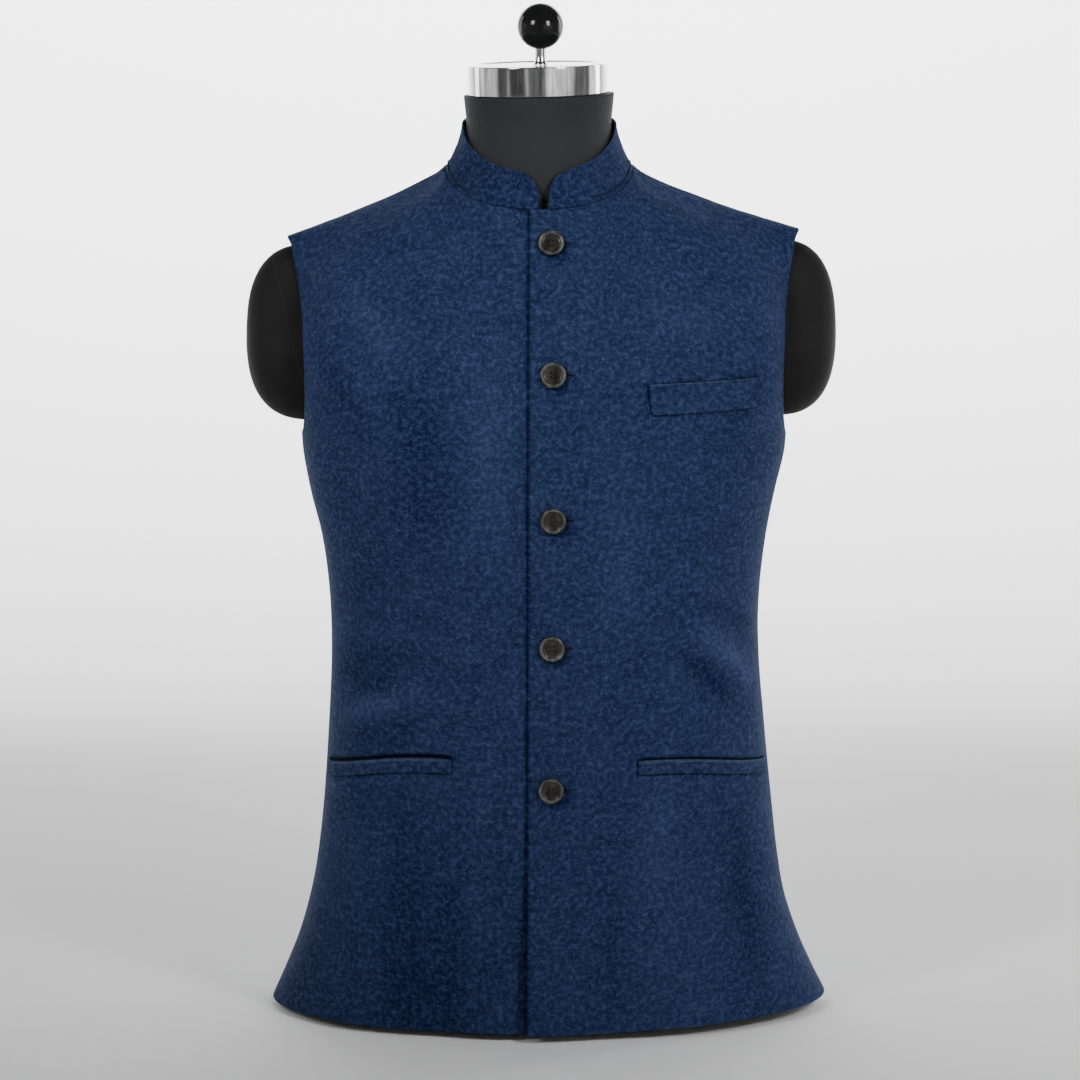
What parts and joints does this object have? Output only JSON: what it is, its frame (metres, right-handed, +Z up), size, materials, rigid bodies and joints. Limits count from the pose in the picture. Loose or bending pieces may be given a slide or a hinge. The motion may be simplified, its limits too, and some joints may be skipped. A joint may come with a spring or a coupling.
{
  "type": "sleeveless stand-collar jacket on a limbless dress form",
  "caption": "Sleeveless navy stand-collar jacket with a buttoned front, chest welt, hip welts and flared hem, on a black dress form with a chrome neck cap and ball finial",
  "frame": {"origin": "on the flat foot of the dress form, in the vertical plane of the shoulder seams, under the middle of the chest", "axes": "+Z up, front faces -Y, the wearer's left is +X"},
  "size_m": [0.4852, 0.2512, 0.8375],
  "materials": {
    "navy_wool": "matte heathered wool twill",
    "dark_horn": "satin dark horn",
    "black_jersey": "matte black stretch jersey over a padded form",
    "bright_chrome": "polished",
    "black_gloss": "gloss"
  },
  "bodies": {
    "root": {"front_right": "navy_wool", "front_left": "navy_wool", "back": "navy_wool", "collar": "navy_wool", "chest_welt": "navy_wool", "hip_welt_right": "navy_wool", "hip_welt_left": "navy_wool", "button_1": "dark_horn", "button_2": "dark_horn", "button_3": "dark_horn", "button_4": "dark_horn", "button_5": "dark_horn", "form_torso": "black_jersey", "arm_cap_right": "black_jersey", "arm_cap_left": "black_jersey", "neck_band": "bright_chrome", "spindle": "bright_chrome", "finial_ball": "black_gloss"}
  },
  "joints": []
}
